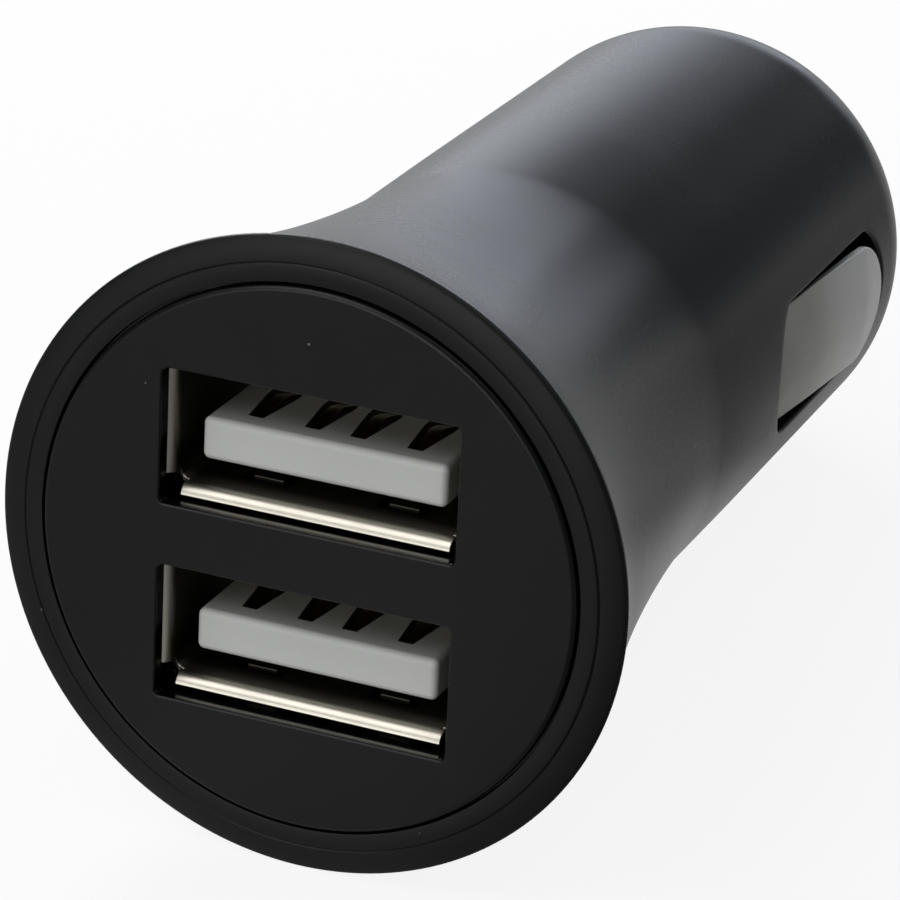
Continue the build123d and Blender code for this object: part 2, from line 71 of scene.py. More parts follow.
# Lattice of the turned housing: columns round it, and the patch that is rebuilt round each window.
COLUMNS, PATCH_COLUMNS, PATCH_STEPS = 180, 14, 20
PATCH_Y, PATCH_LENGTH = 6.6, 17.3
PATCH_ROWS = [PATCH_Y + PATCH_LENGTH * i / PATCH_STEPS for i in range(PATCH_STEPS + 1)]


class Wire:
    """A socket of a node tree. Arithmetic on it adds Math nodes to the tree."""

    def __init__(self, bench, socket):
        self.bench, self.socket = bench, socket

    def _math(self, operation, *values):
        return self.bench.add("ShaderNodeMath", {"operation": operation}, dict(enumerate(values)))[0]

    def __add__(self, other):
        return self._math("ADD", self, other)

    def __radd__(self, other):
        return self._math("ADD", other, self)

    def __sub__(self, other):
        return self._math("SUBTRACT", self, other)

    def __rsub__(self, other):
        return self._math("SUBTRACT", other, self)

    def __mul__(self, other):
        return self._math("MULTIPLY", self, other)

    def __rmul__(self, other):
        return self._math("MULTIPLY", other, self)

    def __truediv__(self, other):
        return self._math("DIVIDE", self, other)

    def __rtruediv__(self, other):
        return self._math("DIVIDE", other, self)

    def __mod__(self, other):
        return self._math("MODULO", self, other)

    def __lt__(self, other):
        return self._math("LESS_THAN", self, other)

    def __gt__(self, other):
        return self._math("GREATER_THAN", self, other)

    def sine(self):
        return self._math("SINE", self)

    def cosine(self):
        return self._math("COSINE", self)

    def least(self, other):
        return self._math("MINIMUM", self, other)

    def most(self, other):
        return self._math("MAXIMUM", self, other)

    def unsigned(self):
        return self.most(0 - self)


class Outputs:
    """The outputs of one node, each as a Wire, by name or number."""

    def __init__(self, bench, node):
        self.bench, self.node = bench, node

    def __getitem__(self, key):
        return Wire(self.bench, self.node.outputs[key])


class Bench:
    """Builds one node tree, for a finish or for a shape."""

    def __init__(self, tree):
        self.tree = tree

    def add(self, kind, settings=None, sockets=None):
        """Adds a node: its settings first, then a value or a link for each socket."""
        node = self.tree.nodes.new(kind)
        for name, value in (settings or {}).items():
            setattr(node, name, value)
        for key, value in (sockets or {}).items():
            if isinstance(value, Wire):
                self.tree.links.new(value.socket, node.inputs[key])
            else:
                node.inputs[key].default_value = value
        return Outputs(self, node)


class Finish(Bench):
    """A material on Object coordinates. Constants go on the shader's own sockets."""

    def __init__(self, name, **constants):
        self.material = bpy.data.materials.new(name)
        self.material.use_nodes = True
        super().__init__(self.material.node_tree)
        self.tree.nodes.clear()
        self.shader = self.tree.nodes.new("ShaderNodeBsdfPrincipled")
        self.output = self.tree.nodes.new("ShaderNodeOutputMaterial")
        self.tree.links.new(self.shader.outputs[0], self.output.inputs["Surface"])
        for socket, value in constants.items():
            self.shader.inputs[socket.replace("_", " ")].default_value = value
        self.where = self.add("ShaderNodeTexCoord")["Object"]
        axes = self.add("ShaderNodeSeparateXYZ", {}, {0: self.where})
        self.across, self.along, self.up = axes["X"], axes["Y"], axes["Z"]

    def feed(self, socket, wire):
        self.tree.links.new(wire.socket, self.shader.inputs[socket])

    def noise(self, scale, detail=2.0, stretch=(1, 1, 1)):
        """Soft noise from 0 to 1. Scale counts cells to the metre, stretch multiplies it along each axis."""
        spread = self.add("ShaderNodeMapping", {}, {"Vector": self.where, "Scale": stretch})["Vector"]
        return self.add("ShaderNodeTexNoise", {}, {"Vector": spread, "Scale": scale, "Detail": detail})["Fac"]

    def ease(self, wire, low, high, start=0.0, end=1.0):
        """Smooth step of a value between two limits."""
        sockets = {"Value": wire, "From Min": low, "From Max": high, "To Min": start, "To Max": end}
        return self.add("ShaderNodeMapRange", {"interpolation_type": "SMOOTHSTEP"}, sockets)[0]

    def blend(self, factor, first, second):
        """Mix of two colours."""
        return self.add("ShaderNodeMix", {"data_type": "RGBA"}, {0: factor, 6: first, 7: second})[2]

    def bump(self, height, depth, strength):
        sockets = {"Height": height, "Distance": depth, "Strength": strength}
        return self.add("ShaderNodeBump", {}, sockets)["Normal"]

    def specks(self, scale, radius, share):
        """Mask of dust: a grain in a share of the cells. Its radius, in metres, varies by the cell."""
        cell = self.add("ShaderNodeTexVoronoi", {}, {"Vector": self.where, "Scale": scale, "Randomness": 1.0})
        apart = self.add("ShaderNodeSeparateColor", {}, {"Color": cell["Color"]})
        size = radius * scale * (0.35 + apart["Red"]) * (apart["Green"] < share)
        return cell["Distance"] < size


def rgb(r, g, b):
    return (r, g, b, 1.0)


def grey(level):
    return rgb(level, level, level)


def rim_black():
    """Front of the rim: the housing's black, left with the grain of the mould."""
    f = Finish("rim black", Specular_IOR_Level=0.30)
    rub = f.noise(210, 4)
    grain = f.noise(5200)
    dust = f.specks(520, 0.045 * MM, 0.30)
    tone = f.blend(rub, rgb(0.0030, 0.0032, 0.0033), rgb(0.0052, 0.0055, 0.0056))
    f.feed("Base Color", f.blend(dust, tone, grey(0.10)))
    f.feed("Roughness", 0.36 + 0.12 * rub + 0.06 * grain)
    f.feed("Normal", f.bump(grain, 0.005 * MM, 0.3))
    return f.material


def gloss_black():
    """Polished black moulding with a faint ripple, soft haze and a few grains of dust."""
    f = Finish("gloss black", Specular_IOR_Level=0.5)
    haze = f.noise(160, 3)
    grain = f.noise(2600)
    dust = f.specks(480, 0.05 * MM, 0.14)
    tone = f.blend(haze, rgb(0.0045, 0.0047, 0.0052), rgb(0.0070, 0.0072, 0.0080))
    f.feed("Base Color", f.blend(dust, tone, grey(0.10)))
    f.feed("Roughness", (0.23 + 0.06 * haze + 0.02 * grain).most(0.6 * dust))
    f.feed("Normal", f.bump(f.noise(230, 1), 0.002 * MM, 0.3))
    return f.material


def satin_black():
    """Black moulding with a fine satin grain, worn in patches and dusty. The walls of its windows are
    polished.
    """
    wall_starts, wall_full = FACE_Y + 0.05, FACE_Y + 0.18
    f = Finish("satin black", Specular_IOR_Level=0.34)
    rub = f.noise(190, 4)
    grain = f.noise(7000)
    dust = f.specks(560, 0.045 * MM, 0.35)
    tone = f.blend(rub, rgb(0.0020, 0.0022, 0.0022), rgb(0.0038, 0.0041, 0.0040))
    f.feed("Base Color", f.blend(dust, tone, rgb(0.20, 0.20, 0.195)))
    wall = f.ease(f.along, wall_starts * MM, wall_full * MM)
    f.feed("Roughness", (0.27 + 0.08 * rub + 0.06 * grain) * (1.0 - 0.65 * wall))
    f.feed("Normal", f.bump(grain, 0.006 * MM, 0.35))
    return f.material


def bright_nickel():
    """Plated sheet: bright lips with faint drawing lines, turning rougher inside the mouth, where painted
    shade darkens it.
    """
    lip_end, mouth = -19.5, -18.3
    side_wall, side_lip_end, side_mouth = 6.1, -19.88, -19.55
    f = Finish("bright nickel", Metallic=1.0)
    drawn = f.noise(900, 3, (1, 0.08, 1))
    dull = f.noise(330, 3)
    side = f.across.unsigned() > side_wall * MM
    # Painted shade: behind the lips and along the side walls the sheet is darkened nearly to black.
    inside = f.ease(f.along, lip_end * MM, mouth * MM).most(
        side * f.ease(f.along, side_lip_end * MM, side_mouth * MM))
    lip = f.blend(dull, rgb(0.66, 0.63, 0.55), rgb(0.56, 0.53, 0.45))
    f.feed("Base Color", f.blend(inside, lip, rgb(0.085, 0.080, 0.062)))
    f.feed("Roughness", 0.24 + 0.10 * drawn + 0.08 * dull + 0.06 * inside)
    f.feed("Normal", f.bump(drawn, 0.004 * MM, 0.3))
    return f.material


def satin_nickel():
    """Spring sheet with a satin plating, brushed along the leaf, with a painted highlight that brightens it
    towards the nose.
    """
    highlight_starts, highlight_full, highlight_drift = 13, 22.5, 6
    f = Finish("satin nickel", Metallic=1.0)
    brushed = f.noise(2400, 3, (1, 0.05, 1))
    patch = f.noise(190)
    # Painted highlight: towards the nose the leaf turns near white, brighter than its plating.
    painted_light_and_shade = f.ease(f.along + highlight_drift * MM * patch, highlight_starts * MM, highlight_full * MM)
    dull = f.blend(f.ease(patch, 0.35, 0.65), rgb(0.60, 0.60, 0.56), rgb(0.50, 0.495, 0.455))
    f.feed("Base Color", f.blend(painted_light_and_shade, dull, rgb(0.97, 0.97, 0.95)))
    f.feed("Roughness", 0.36 + 0.10 * brushed + 0.10 * patch)
    f.feed("Normal", f.bump(patch + 0.02 * brushed, 0.25 * MM, 0.6))
    return f.material


def tongue_white():
    """White moulded resin, mottled, with painted shade that darkens it behind its front and deep down in the
    contact slots.
    """
    pitch, lift, slot_top, slot_floor = 8.5 * MM, 0.34 * MM, 0.165 * MM, -0.45 * MM
    slots_half, slots_start = 4.7, -18.2
    shade_behind_starts, shade_behind_full, shade_behind_depth = -19.0, -16.5, 0.75
    f = Finish("tongue white", Specular_IOR_Level=0.4)
    mottle = f.noise(240, 4)
    skin = f.noise(3600)
    height = (f.up - lift + pitch) % pitch - pitch / 2
    within = (f.across.unsigned() < slots_half * MM) * (f.along > slots_start * MM)
    # Painted shade: the walls and floors of the contact slots are darkened nearly to black.
    slot = within * (height < slot_top) * (height > slot_floor)
    resin = f.blend(mottle, rgb(0.86, 0.87, 0.845), rgb(0.79, 0.80, 0.77))
    # Painted shade: behind its front edge the resin darkens and turns brownish.
    dull = f.ease(f.along, shade_behind_starts * MM, shade_behind_full * MM, 0.0, shade_behind_depth)
    painted_light_and_shade = f.blend(dull, resin, rgb(0.42, 0.40, 0.33))
    f.feed("Base Color", f.blend(slot, painted_light_and_shade, rgb(0.15, 0.145, 0.12)))
    f.feed("Roughness", 0.38 + 0.14 * skin)
    f.feed("Normal", f.bump(skin, 0.008 * MM, 0.3))
    return f.material


def metal(name, light, dark, rough, lines=(1, 1, 1), scale=900):
    """Plated or drawn metal: colour, roughness and a light bump follow one streaked noise."""
    f = Finish(name, Metallic=1.0)
    streak = f.noise(scale, 3, lines)
    f.feed("Base Color", f.blend(streak, light, dark))
    f.feed("Roughness", rough + 0.14 * streak)
    f.feed("Normal", f.bump(streak, 0.004 * MM, 0.3))
    return f.material


def moulding(name, light, dark, rough, scale=900, depth=0.008):
    """Moulded, fired or printed stuff: mottled colour, grain in the roughness and the bump."""
    f = Finish(name, Specular_IOR_Level=0.4)
    mottle = f.noise(scale, 4)
    grain = f.noise(5 * scale)
    f.feed("Base Color", f.blend(mottle, light, dark))
    f.feed("Roughness", rough + 0.16 * grain)
    f.feed("Normal", f.bump(grain, depth * MM, 0.4))
    return f.material


finishes = {
    "gloss_black": gloss_black(),
    "satin_black": satin_black(),
    "bright_nickel": bright_nickel(),
    "satin_nickel": satin_nickel(),
    "tongue_white": tongue_white(),
    # Painted shade: the contact strips get a gold far darker than real gold, for the shade down in the slots.
    "contact_gold": metal(
        "contact gold", rgb(0.22, 0.18, 0.10), rgb(0.16, 0.125, 0.07), 0.30, (1, 0.1, 1)),
    "tip_nickel": metal(
        "tip nickel", rgb(0.70, 0.69, 0.66), rgb(0.60, 0.59, 0.57), 0.18, (0.3, 6, 0.3)),
    "spring_wire": metal("spring wire", rgb(0.56, 0.56, 0.57), rgb(0.42, 0.42, 0.43), 0.28),
    "tinned": metal("tinned", rgb(0.68, 0.68, 0.67), rgb(0.55, 0.55, 0.54), 0.30),
    "board_green": moulding(
        "board green", rgb(0.022, 0.14, 0.06), rgb(0.014, 0.10, 0.045), 0.30, 700),
    "sleeve_black": moulding(
        "sleeve black", rgb(0.020, 0.020, 0.026), rgb(0.012, 0.012, 0.016), 0.28),
    "ferrite": moulding(
        "ferrite", rgb(0.060, 0.058, 0.056), rgb(0.036, 0.035, 0.034), 0.60, 1500, 0.02),
    "copper": metal("copper", rgb(0.76, 0.36, 0.18), rgb(0.60, 0.26, 0.12), 0.30, (0.2, 0.2, 8)),
    "epoxy_black": moulding("epoxy black", grey(0.024), grey(0.014), 0.48, 1500),
    "ceramic_white": moulding("ceramic white", rgb(0.78, 0.77, 0.73), rgb(0.68, 0.67, 0.62), 0.30),
    "ceramic_tan": moulding("ceramic tan", rgb(0.46, 0.32, 0.19), rgb(0.36, 0.24, 0.14), 0.45),
}
slots = {row["node"]: row["material_slot"] for row in frame["record"]["subparts"]}
for name, node in frame["nodes"].items():
    node.data.materials.clear()
    node.data.materials.append(finishes[slots[name]])


def show(name, mesh):
    """A new object in the scene that holds the mesh."""
    piece = bpy.data.objects.new(name, mesh)
    scene.collection.objects.link(piece)
    return piece


def settle(piece):
    """Turns what the piece's modifiers make into its plain mesh."""
    ready = piece.evaluated_get(bpy.context.evaluated_depsgraph_get())
    made = bpy.data.meshes.new_from_object(ready)
    piece.modifiers.clear()
    piece.data = made


def stand_for(piece, body, *nodes):
    """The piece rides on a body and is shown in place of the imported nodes."""
    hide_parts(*nodes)
    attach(piece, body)


class Shape(Bench):
    """A Geometry Nodes tree with named sizes in metres, and the plain mesh that it makes."""

    def __init__(self, name, **sizes):
        super().__init__(bpy.data.node_groups.new(name, "GeometryNodeTree"))
        self.name, self.sizes = name, sizes
        sockets = self.tree.interface
        sockets.new_socket("Geometry", in_out="INPUT", socket_type="NodeSocketGeometry")
        for label in sizes:
            sockets.new_socket(label, in_out="INPUT", socket_type="NodeSocketFloat")
        sockets.new_socket("Geometry", in_out="OUTPUT", socket_type="NodeSocketGeometry")
        self.given = Outputs(self, self.tree.nodes.new("NodeGroupInput"))
        self.index = self.add("GeometryNodeInputIndex")[0]

    def place(self, geometry, x, y, z):
        """Sets every point of a geometry to the place given by three values."""
        spot = self.add("ShaderNodeCombineXYZ", {}, {"X": x, "Y": y, "Z": z})[0]
        return self.add("GeometryNodeSetPosition", {}, {"Geometry": geometry, "Position": spot})[0]

    def axis(self, vector, letter):
        return self.add("ShaderNodeSeparateXYZ", {}, {0: vector})[letter]

    def line(self, points):
        """A straight curve of so many points, to be put in place by their index."""
        curve = self.add("GeometryNodeCurvePrimitiveLine")[0]
        return self.add("GeometryNodeResampleCurve", {}, {"Curve": curve, "Count": points})[0]

    def sweep(self, path, section):
        """A closed rod along a path."""
        sockets = {"Curve": path, "Profile Curve": section, "Fill Caps": True}
        return self.add("GeometryNodeCurveToMesh", {}, sockets)[0]

    def smooth(self, geometry, limit):
        """Smooth faces, with the edges left sharp that turn by more than the limit, in degrees."""
        turn = self.add("GeometryNodeInputMeshEdgeAngle")["Unsigned Angle"]
        soft = self.add("GeometryNodeSetShadeSmooth", {"domain": "FACE"}, {"Geometry": geometry})[0]
        sharp = {"Geometry": soft, "Selection": turn > radians(limit), "Shade Smooth": False}
        return self.add("GeometryNodeSetShadeSmooth", {"domain": "EDGE"}, sharp)[0]

    def make(self, geometry, material, points=(), second=None):
        """Ends the tree, runs it once on the given points and keeps the result as a plain mesh.

        Second is another material and the selection of faces that takes it.
        """
        solid = self.add("GeometryNodeRealizeInstances", {}, {0: geometry})[0]
        done = self.add("GeometryNodeSetMaterial", {}, {"Geometry": solid, "Material": material})[0]
        if second:
            chosen = {"Geometry": done, "Selection": second[1], "Material": second[0]}
            done = self.add("GeometryNodeSetMaterial", {}, chosen)[0]
        end = self.tree.nodes.new("NodeGroupOutput")
        self.tree.links.new(done.socket, end.inputs[0])
        base = bpy.data.meshes.new(self.name)
        base.from_pydata(list(points), [], [])
        piece = show(self.name, base)
        modifier = piece.modifiers.new("shape", "NODES")
        modifier.node_group = self.tree
        for item in self.tree.interface.items_tree:
            if item.in_out == "INPUT" and item.name in self.sizes:
                modifier[item.identifier] = float(self.sizes[item.name])
        settle(piece)
        return piece


def arc(centre, across, along, start, end, steps):
    """Points of an elliptical arc in the plane of radius and station, angles in degrees."""
    turn = [radians(start + (end - start) * i / steps) for i in range(steps + 1)]
    return [(centre[0] + across * cos(a), centre[1] + along * sin(a)) for a in turn]


def eased(corners, radius, steps=3):
    """A polyline with its inner corners rounded off."""
    most_of_a_leg = 0.45
    out = [corners[0]]
    for before, corner, after in zip(corners, corners[1:], corners[2:]):
        c = Vector(corner)
        a, b = Vector(before) - c, Vector(after) - c
        reach = min(radius, most_of_a_leg * a.length, most_of_a_leg * b.length)
        p, q = c + a.normalized() * reach, c + b.normalized() * reach
        for i in range(steps + 1):
            t = i / steps
            out.append(tuple(p * (1 - t) ** 2 + c * (2 * t * (1 - t)) + q * t * t))
    return out + [corners[-1]]


def turned(name, profile, columns, material, limit, second=None):
    """Piece turned about the axis. The profile is a list of radius and station in millimetres.

    Second is another material and the station that its faces lie before.
    """
    rows = len(profile)
    s = Shape(name, Columns=columns, Rows=rows)
    grid = s.add("GeometryNodeMeshGrid", {}, {"Vertices X": columns + 1, "Vertices Y": rows})["Mesh"]
    row = s.index % s.given["Rows"]
    turn = (s.index - row) / s.given["Rows"] * (2 * pi) / s.given["Columns"]
    spot = s.add("GeometryNodeInputPosition")[0]
    outline = s.add("GeometryNodeSampleIndex", {"data_type": "FLOAT_VECTOR"},
                    {"Geometry": s.given["Geometry"], "Value": spot, "Index": row})[0]
    r, y = s.axis(outline, "X"), s.axis(outline, "Y")
    skin = s.place(grid, r * turn.cosine(), y, r * turn.sine())
    skin = s.add("GeometryNodeMergeByDistance", {}, {"Geometry": skin, "Distance": 2 * SAME_POINT})[0]
    skin = s.smooth(skin, limit)
    if second:
        second = (second[0], s.axis(spot, "Y") < second[1] * MM)
    return s.make(skin, material, [(a * MM, b * MM, 0) for a, b in profile], second)


def opened(mesh):
    """The mesh for editing, its doubles merged."""
    b = bmesh.new()
    b.from_mesh(mesh)
    bmesh.ops.remove_doubles(b, verts=b.verts, dist=SAME_POINT)
    return b


def closed(b, mesh):
    """Ends the editing of a mesh."""
    b.to_mesh(mesh)
    b.free()


def mend(piece):
    """Merges doubles and turns the faces of a closed piece outwards."""
    b = opened(piece.data)
    bmesh.ops.dissolve_degenerate(b, edges=b.edges, dist=SAME_POINT)
    bmesh.ops.recalc_face_normals(b, faces=b.faces)
    closed(b, piece.data)


def cut_away(b, faces):
    """Deletes faces, and the points that no other face holds."""
    bmesh.ops.delete(b, geom=faces, context="FACES")
    loose = [v for v in b.verts if not v.link_faces]
    bmesh.ops.delete(b, geom=loose, context="VERTS")


def skin_over(b, rows, paint):
    """Smooth faces between closed rings of points, each with as many points as the next."""
    for first, second in zip(rows, rows[1:]):
        for k in range(len(first)):
            after = (k + 1) % len(first)
            face = b.faces.new((first[k], first[after], second[after], second[k]))
            face.smooth, face.material_index = True, paint


def crease(b):
    """Turns faces outwards and leaves the edges sharp that turn by SHARP_TURN degrees or more."""
    bmesh.ops.recalc_face_normals(b, faces=b.faces)
    for edge in b.edges:
        edge.smooth = edge.calc_face_angle(0.0) < radians(SHARP_TURN)


def barrel_radius(y):
    """Radius of the barrel's outside, which has a slight draft from one station on."""
    return BARREL - (BARREL - DRAFTED) * min(max((y - DRAFT_Y) / (DOME_Y - DRAFT_Y), 0.0), 1.0)


def dome_end(radius, flat):
    """Angle, in degrees, at which a dome of a radius has come in to the radius of a flat."""
    return degrees(atan2(sqrt(radius ** 2 - flat ** 2), flat))


def housing_profile():
    """Section of the housing: rim, flare, barrel, dome, tip hole, bore, board shoulder and throat."""
    lead, tail, slope, flare_steps = 6.15, 3.0, 0.34, 40
    bezel, ring_y, groove, lip, lip_steps = 11.85, -20.64, 12.63, 0.05, 2
    seam_depth, groove_depth, ring_drop = 0.2, 0.07, 0.01
    bevel_start = (13.57, -20.48)
    straight_rows = (2.2, 4.4)
    dome_rise, dome_steps, hollow_rise, hollow_steps = 7.9, 28, 5.6, 16
    nose_flat, nose_wall, hole_soft = 4.0, 1.6, 0.15
    tip_hole, collar_hole, collar_hole_y = 2.56, 3.9, 29.172
    shoulder, board, board_y, funnel_y = 9.35, 9.848, -7.7, -8.2
    throat, throat_y = 10.998, -14.8

    front = eased([(bezel, ring_y + seam_depth), (bezel, ring_y), (groove - lip, ring_y),
                   (groove, ring_y + groove_depth), (groove + lip, ring_y + ring_drop), bevel_start],
                  lip, lip_steps)[1:-1]
    bevel = [bevel_start, (13.64, -20.445), (13.6975, -20.4075), (13.727, -20.35), (RIM, RIM_Y)]
    ends = [Vector(p) for p in (
        (RIM, RIM_Y), (RIM - slope * lead, RIM_Y + lead), (BARREL, -tail), (BARREL, 0))]
    flare = []
    for i in range(1, flare_steps + 1):
        t = i / flare_steps
        flare.append(tuple(ends[0] * (1 - t) ** 3 + ends[1] * (3 * t * (1 - t) ** 2)
                           + ends[2] * (3 * t * t * (1 - t)) + ends[3] * t ** 3))
    barrel = [(BARREL, y) for y in straight_rows] + [(barrel_radius(y), y) for y in PATCH_ROWS]
    dome = arc((0, DOME_Y), DRAFTED, dome_rise, 0, dome_end(DRAFTED, nose_flat), dome_steps)
    nose = dome[-1][1]
    seat = nose - nose_wall
    hole = eased([dome[-1], (tip_hole, nose), (tip_hole, seat), (collar_hole, seat),
                  (collar_hole, collar_hole_y)], hole_soft)[1:]
    hollow = arc((0, DOME_Y), BORE, hollow_rise, dome_end(BORE, collar_hole), 0, hollow_steps)
    bore = [(BORE, y) for y in reversed(PATCH_ROWS)] + [
        (BORE, 0.0), (shoulder, board_y), (board, board_y), (board, funnel_y), (throat, throat_y),
        (throat, PLATE_BACK_Y), (bezel, PLATE_BACK_Y)]
    section = front + bevel + flare + barrel + dome + hole + hollow + bore
    return section + [section[0]]


def window_outline(grow):
    """Outline of a contact window round its middle, by angle, as offsets along the barrel and across it."""
    end_steps, corner_steps, side_steps = 24, 12, 16
    end, half, corner = WINDOW_END + grow, WINDOW_HALF + grow, WINDOW_CORNER + grow
    middle = WINDOW_REACH - WINDOW_END
    across = WINDOW_HALF - WINDOW_CORNER
    along = middle + sqrt((WINDOW_END - WINDOW_CORNER) ** 2 - across ** 2)
    tangent = degrees(atan2(across, along - middle))
    quarter = arc((middle, 0), end, end, 0, tangent, end_steps)
    quarter += arc((along, across), corner, corner, tangent, 90, corner_steps)[1:]
    quarter += [(along * (1 - i / side_steps), half) for i in range(1, side_steps + 1)]
    half_loop = quarter + [(-a, b) for a, b in reversed(quarter[:-1])]
    loop = half_loop + [(a, -b) for a, b in reversed(half_loop[1:-1])]
    table = [(atan2(b, a) % (2 * pi), a, b) for a, b in loop]
    table = [table[-1]] + table + [table[0]]
    table[0] = (table[0][0] - 2 * pi, *table[0][1:])
    table[-1] = (table[-1][0] + 2 * pi, *table[-1][1:])

    def at(angle):
        angle %= 2 * pi
        for (a0, x0, y0), (a1, x1, y1) in zip(table, table[1:]):
            if a0 <= angle <= a1:
                t = (angle - a0) / max(a1 - a0, 1e-9)
                return x0 + (x1 - x0) * t, y0 + (y1 - y0) * t
    return at


def cut_window(b, side):
    """Opens one contact window in the turned housing: skins that run into it, softened edge and wall."""
    step = 2 * pi / COLUMNS
    spread = PATCH_COLUMNS * step
    low, high = PATCH_ROWS[0], PATCH_ROWS[-1]
    inner_limit, between_skins = BORE - 0.2, BORE + 0.6
    turn_slack, row_slack = 0.2 * step, 0.05
    outer_rings, inner_rings, soft_rings = 6, 4, 5

    def where(spot):
        x, y, z = spot.x / MM * side, spot.y / MM, spot.z / MM
        return sqrt(x * x + z * z), y, atan2(z, x)

    gone = []
    for face in b.faces:
        r, y, turn = where(face.calc_center_median())
        if abs(turn) < spread and low < y < high and r > inner_limit:
            gone.append(face)
    paint = gone[0].material_index
    cut_away(b, gone)

    rims = {True: {}, False: {}}
    for v in b.verts:
        r, y, turn = where(v.co)
        if abs(turn) < spread + turn_slack and low - row_slack < y < high + row_slack and r > inner_limit:
            key = round(turn / step), round((y - low) / (high - low) * PATCH_STEPS)
            rims[r > between_skins][key] = v
    n, m = PATCH_COLUMNS, PATCH_STEPS
    walk = [(i, 0) for i in range(-n, n)] + [(n, j) for j in range(m)]
    walk += [(i, m) for i in range(n, -n, -1)] + [(-n, j) for j in range(m, 0, -1)]

    def angle_of(i, j):
        return atan2(BARREL * sin(i * step), low + (high - low) * j / m - WINDOW_Y)

    def point(y, z, radius, depth=0.0):
        return b.verts.new((side * (sqrt(radius * radius - z * z) - depth) * MM, y * MM, z * MM))

    def skin(outer, grow, steps):
        """Rings of points from the border of the patch to the outline of the window."""
        edge = window_outline(grow)
        rows = [[rims[outer][key] for key in walk]]
        for k in range(1, steps + 1):
            t = k / steps
            row = []
            for i, j in walk:
                a, z = edge(angle_of(i, j))
                y = WINDOW_Y + a
                radius = barrel_radius(y) if outer else BORE
                turn = (1 - t) * i * step + t * atan2(z, sqrt(radius ** 2 - z ** 2))
                y = (1 - t) * (low + (high - low) * j / m) + t * y
                radius = barrel_radius(y) if outer else BORE
                row.append(point(y, radius * sin(turn), radius))
            rows.append(row)
        return rows

    outside, inside = skin(True, WINDOW_SOFT, outer_rings), skin(False, 0.0, inner_rings)
    softened = []
    for k in range(1, soft_rings + 1):
        a = radians(90 * k / soft_rings)
        edge = window_outline(WINDOW_SOFT * (1 - sin(a)))
        row = []
        for i, j in walk:
            reach, z = edge(angle_of(i, j))
            y = WINDOW_Y + reach
            row.append(point(y, z, barrel_radius(y), WINDOW_SOFT * (1 - cos(a))))
        softened.append(row)
    skin_over(b, outside + softened + list(reversed(inside)), paint)


def add_housing():
    """Turned housing with a window on each side, gloss black with a satin front."""
    front_ends = RIM_Y - 0.01
    piece = turned("turned_housing", housing_profile(), COLUMNS, finishes["gloss_black"], SHARP_TURN,
                   (rim_black(), front_ends))
    b = opened(piece.data)
    for side in (1, -1):
        cut_window(b, side)
    crease(b)
    closed(b, piece.data)
    stand_for(piece, "charger", "housing")


def add_plate():
    """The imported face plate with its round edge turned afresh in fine, even steps."""
    plate, rounding, step_y, seat, edge_steps, level = 11.75, 0.25, -20.2, 11.83, 12, 0.001
    mesh = frame["nodes"]["face_plate"].data.copy()
    b = opened(mesh)

    def kept(face):
        stations = [v.co.y / MM for v in face.verts]
        flat = max(stations) < FACE_Y + level or min(stations) > PLATE_BACK_Y - level
        c = face.calc_center_median() / MM
        return flat or sqrt(c.x ** 2 + c.z ** 2) < plate - 2 * rounding

    cut_away(b, [face for face in b.faces if not kept(face)])
    front = [v for v in b.verts if v.is_boundary and abs(v.co.y / MM - FACE_Y) < level]
    front.sort(key=lambda v: atan2(v.co.z, v.co.x))
    turns = [atan2(v.co.z, v.co.x) for v in front]
    rows = [front]
    round_edge = arc((plate - rounding, FACE_Y + rounding), rounding, rounding, -90, 0, edge_steps)[1:]
    for radius, y in round_edge + [(plate, step_y), (seat, step_y)]:
        rows.append([b.verts.new((radius * cos(a) * MM, y * MM, radius * sin(a) * MM)) for a in turns])
    skin_over(b, rows, 0)
    bmesh.ops.bridge_loops(b, edges=[e for e in b.edges if e.is_boundary])
    for face in b.faces:
        face.smooth = True
    crease(b)
    closed(b, mesh)
    if "custom_normal" in mesh.attributes:
        mesh.attributes.remove(mesh.attributes["custom_normal"])
    piece = show("turned_plate", mesh)
    even = piece.modifiers.new("even shading", "WEIGHTED_NORMAL")
    even.mode, even.weight, even.keep_sharp = "FACE_AREA", 100, True
    settle(piece)
    stand_for(piece, "charger", "face_plate")


def add_tip():
    """Turned centre pole: spigot, flange and a domed pin with a shallow ring cut behind the dome."""
    low, high = (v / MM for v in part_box("centre_tip"))
    end, start = high.y, low.y
    pin, collar, spigot, dome, soft = 2.5, 3.5, 2.2, 1.7, 0.12
    ring_depth, ring_from_neck = 0.09, (0.55, 0.45, 0.25, 0.15)
    columns, dome_steps, sharp_turn = 96, 14, 50
    flange, back, neck = start + 2.0, start + 2.95, end - dome
    ring_radii = (pin, pin - ring_depth, pin - ring_depth, pin)
    ring = [(radius, neck - behind) for radius, behind in zip(ring_radii, ring_from_neck)]
    profile = [(0.0, start)] + eased(
        [(0.0, start), (spigot, start), (spigot, flange), (collar, flange), (collar, back), (pin, back)]
        + ring + [(pin, neck)], soft)[1:]
    profile += arc((pin - dome, neck), dome, dome, 0, 90, dome_steps)[1:] + [(0.0, end)]
    piece = turned("turned_tip", profile, columns, finishes["tip_nickel"], sharp_turn)
    mend(piece)
    stand_for(piece, "tip", "centre_tip")


